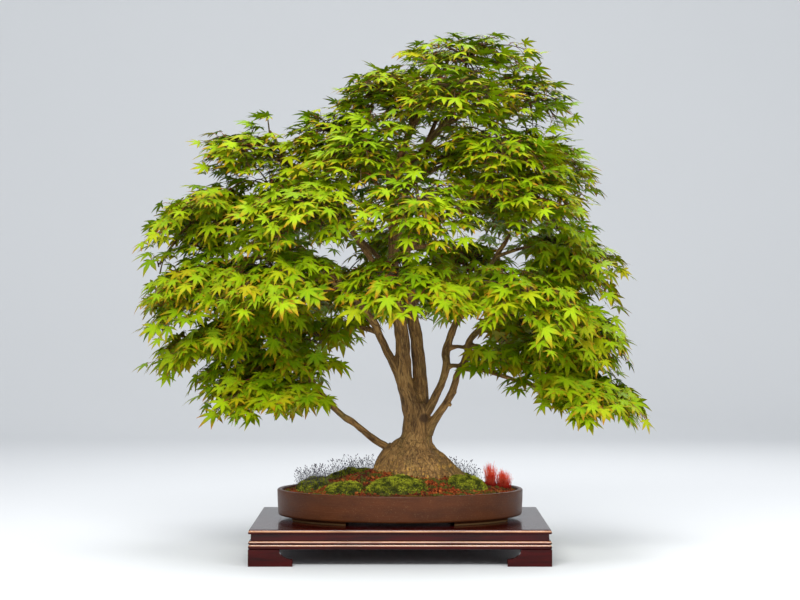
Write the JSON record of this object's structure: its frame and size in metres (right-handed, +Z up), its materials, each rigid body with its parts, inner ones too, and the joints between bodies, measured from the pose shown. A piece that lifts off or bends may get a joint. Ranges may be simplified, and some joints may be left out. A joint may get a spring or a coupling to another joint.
{
  "type": "bonsai tree in a pot",
  "caption": "Maple bonsai with a spreading layered crown on a flared trunk, in a shallow oval pot with mossy soil, on a low lacquered display stand.",
  "frame": {"origin": "on the surface that the stand rests on, under the middle of the overall box", "axes": "+Z up, -Y towards the front of the tree and the pot's long front side, +X to the right as seen from the front"},
  "size_m": [0.8666, 0.6604, 0.9003],
  "materials": {
    "bark": "rough bark with fine vertical ridges",
    "leaf": "soft satin leaf surface",
    "akadama": "dry matte granules",
    "moss": "velvety and matte",
    "red_moss": "fine matte fronds",
    "stoneware": "unglazed, satin from burnishing",
    "black_plastic": "matte",
    "aluminium_wire": "anodised, satin",
    "lacquer": "deep red lacquer, high gloss"
  },
  "bodies": {
    "root": {"drain_clip_left": "aluminium_wire", "drain_clip_right": "aluminium_wire", "drain_screen_left": "black_plastic", "drain_screen_right": "black_plastic", "foliage_apex": "leaf", "foliage_bottom_left": "leaf", "foliage_bottom_right": "leaf", "foliage_far_left": "leaf", "foliage_far_left_upper": "leaf", "foliage_high_back_left": "leaf", "foliage_high_back_right": "leaf", "foliage_high_front_left": "leaf", "foliage_high_front_right": "leaf", "foliage_high_right": "leaf", "foliage_low_back_left": "leaf", "foliage_low_back_right": "leaf", "foliage_low_front": "leaf", "foliage_low_front_left": "leaf", "foliage_low_front_right": "leaf", "foliage_low_left": "leaf", "foliage_middle_back_left": "leaf", "foliage_middle_back_right": "leaf", "foliage_middle_front": "leaf", "foliage_middle_front_left": "leaf", "foliage_middle_front_right": "leaf", "foliage_right": "leaf", "foliage_right_upper": "leaf", "foliage_shoulder": "leaf", "foliage_shoulder_inner": "leaf", "foliage_upper_back": "leaf", "foliage_upper_front": "leaf", "foliage_upper_left": "leaf", "foliage_upper_right": "leaf", "moss_cushion_back_left": "moss", "moss_cushion_back_right": "moss", "moss_cushion_front": "moss", "moss_cushion_front_left": "moss", "moss_cushion_left": "moss", "moss_cushion_right": "moss", "pot": "stoneware", "red_moss_tuft": "red_moss", "soil": "akadama", "stand_apron_back": "lacquer", "stand_apron_front": "lacquer", "stand_apron_left": "lacquer", "stand_apron_right": "lacquer", "stand_leg_back_left": "lacquer", "stand_leg_back_right": "lacquer", "stand_leg_front_left": "lacquer", "stand_leg_front_right": "lacquer", "stand_top_panel": "lacquer", "stand_top_rail_back": "lacquer", "stand_top_rail_front": "lacquer", "stand_top_rail_left": "lacquer", "stand_top_rail_right": "lacquer", "stand_waist_back": "lacquer", "stand_waist_front": "lacquer", "stand_waist_left": "lacquer", "stand_waist_right": "lacquer", "trunk_and_branches": "bark"}
  },
  "joints": []
}
